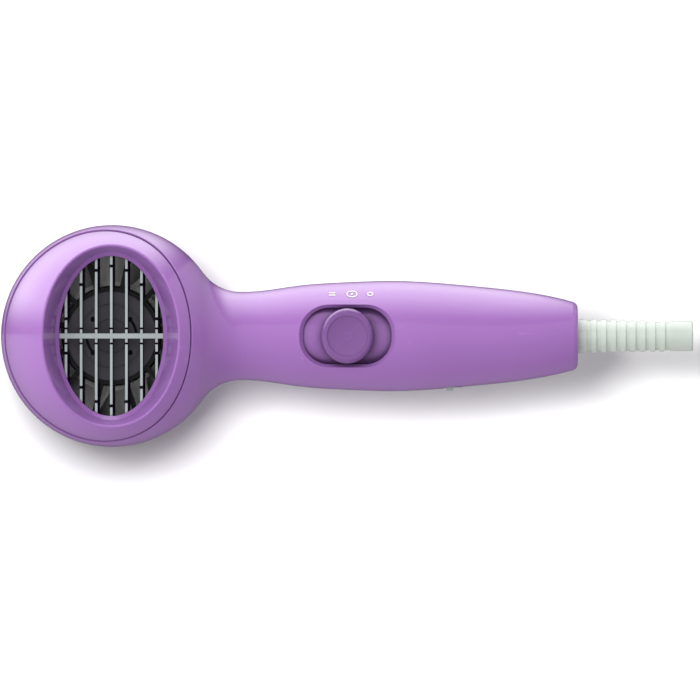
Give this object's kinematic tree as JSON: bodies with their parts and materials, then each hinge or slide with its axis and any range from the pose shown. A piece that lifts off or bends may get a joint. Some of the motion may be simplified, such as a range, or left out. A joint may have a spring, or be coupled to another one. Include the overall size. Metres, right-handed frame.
{
  "type": "hair dryer",
  "caption": "Compact hand-held hair dryer with a round head, oval intake grille, thumb slide switch, voltage selector and a collar for push-on diffusers or nozzles.",
  "frame": {"origin": "centre of the outlet's rim, on the air axis", "axes": "+Z along the air axis from the outlet to the intake, +X along the handle towards the cord end, +Y across the handle"},
  "size_m": [0.2244, 0.072, 0.11],
  "materials": {
    "purple_gloss": "high gloss moulded",
    "mint_plastic": "satin moulded",
    "mint_rubber": "satin flexible moulding",
    "plum_plastic": "satin moulded",
    "black_plastic": "satin moulded",
    "hub_grey": "satin moulded",
    "fan_grey": "semi-gloss moulded",
    "outlet_black": "heat-resistant, fine grain",
    "zinc_steel": "zinc plated",
    "lamination": "stacked laminations",
    "magnet": "sintered ferrite",
    "bronze": "sintered bronze",
    "copper": "enamelled copper wire",
    "carbon": "pressed carbon",
    "mica": "mica sheet",
    "nichrome": "oxidised heating wire",
    "board_green": "solder mask",
    "capacitor_blue": "cast resin",
    "white_ink": "printed ink",
    "lead_jacket": "silicone insulation"
  },
  "bodies": {
    "dryer_body": {"rear_housing": "purple_gloss", "front_housing": "purple_gloss", "intake_cap": "purple_gloss", "intake_grille": "mint_plastic", "intake_louvre": "plum_plastic", "motor_support": "black_plastic", "hub_plate": "hub_grey", "motor_can": "zinc_steel", "motor_end_cap": "black_plastic", "motor_terminals": "bronze", "motor_bushes": "bronze", "motor_magnets": "magnet", "motor_brushes": "carbon", "brush_springs": "bronze", "fan_duct": "outlet_black", "mica_tube": "mica", "mica_board_long": "mica", "mica_board_cross": "mica", "heater_coil": "nichrome", "thermostat": "zinc_steel", "thermal_fuse": "zinc_steel", "outlet_ring": "outlet_black", "outlet_grille": "outlet_black", "switch_body": "black_plastic", "switch_terminals": "bronze", "switch_screws": "zinc_steel", "housing_screws": "zinc_steel", "position_marks": "white_ink", "selector_body": "black_plastic", "selector_terminals": "bronze", "rectifier_board": "board_green", "rectifier_diodes": "black_plastic", "filter_capacitor": "capacitor_blue", "strain_relief": "mint_rubber", "cord_clamp": "black_plastic", "cord_clamp_screws": "zinc_steel", "motor_leads": "lead_jacket", "heater_leads": "lead_jacket"},
    "rotor": {"impeller": "fan_grey", "motor_shaft": "zinc_steel", "armature_core": "lamination", "armature_windings": "copper", "commutator": "copper"},
    "slide_switch": {"slide_knob": "purple_gloss", "knob_inset": "purple_gloss", "switch_slider": "black_plastic", "switch_contact": "copper"},
    "voltage_selector": {"selector_knob": "black_plastic", "selector_pointer": "mint_plastic"}
  },
  "joints": [
    {"name": "fan_spin", "type": "hinge", "parent": "dryer_body", "child": "rotor", "pos_m": [0, 0, 0.07], "axis": [0, 0, 1], "continuous": true},
    {"name": "switch_slide", "type": "slide", "parent": "dryer_body", "child": "slide_switch", "axis": [1, 0, 0], "range_m": [-0.0052, 0.0052]},
    {"name": "selector_turn", "type": "hinge", "parent": "dryer_body", "child": "voltage_selector", "pos_m": [0.1107, -0.015, 0.082], "axis": [0, -1, 0], "range_deg": [0, 90]}
  ]
}
